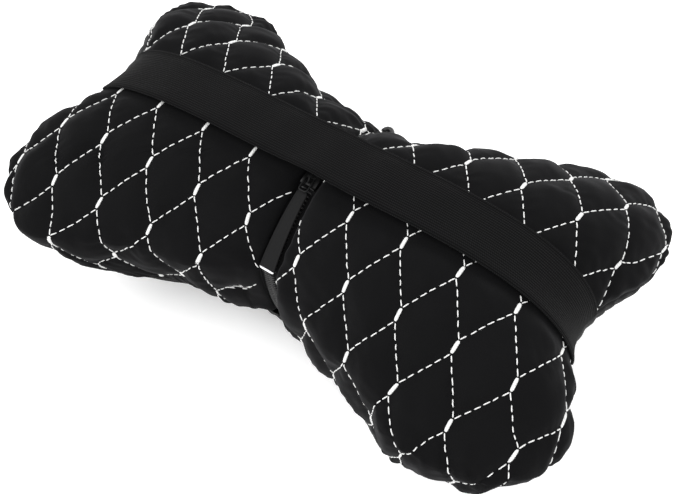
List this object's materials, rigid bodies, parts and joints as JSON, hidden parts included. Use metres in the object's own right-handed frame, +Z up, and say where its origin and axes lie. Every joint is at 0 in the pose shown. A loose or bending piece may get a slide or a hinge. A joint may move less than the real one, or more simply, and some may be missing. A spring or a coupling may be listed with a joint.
{
  "type": "car neck pillow",
  "caption": "Bone-shaped stuffed neck pillow with a diamond-quilted back, a zip across its waist and a wide elastic band along it.",
  "frame": {"origin": "on the floor below the middle of the pillow's box, with the pillow lying on its knit front", "axes": "+X along the pillow and its elastic band, +Y across it along the zip, +Z up out of the quilted back"},
  "size_m": [0.3066, 0.187, 0.1114],
  "materials": {
    "velour": "matt black brushed velour, quilted",
    "thread": "white polyester sewing thread",
    "knit": "matt black fine knit",
    "wadding": "white stuffed inner bag",
    "elastic": "black ribbed elastic",
    "tape": "black woven zip tape",
    "nylon": "black nylon coil with a soft gloss",
    "enamel": "black enamelled die casting",
    "rubber": "black moulded rubber"
  },
  "bodies": {
    "cushion": {"back_panel_left": "velour", "back_panel_right": "velour", "quilt_stitching_left": "thread", "quilt_stitching_right": "thread", "front_panel": "knit", "filling": "wadding", "elastic_band": "elastic", "zip_tape_left": "tape", "zip_tape_right": "tape", "zip_coil_left": "nylon", "zip_coil_right": "nylon", "zip_tail": "nylon", "zip_slider": "enamel"},
    "pull": {"pull_link": "enamel", "pull_tab": "rubber"}
  },
  "joints": [
    {"name": "pull_hinge", "type": "hinge", "parent": "cushion", "child": "pull", "pos_m": [-0.00053, -0.01056, 0.09827], "axis": [-1, 0, 0], "range_deg": [0, 55]}
  ]
}
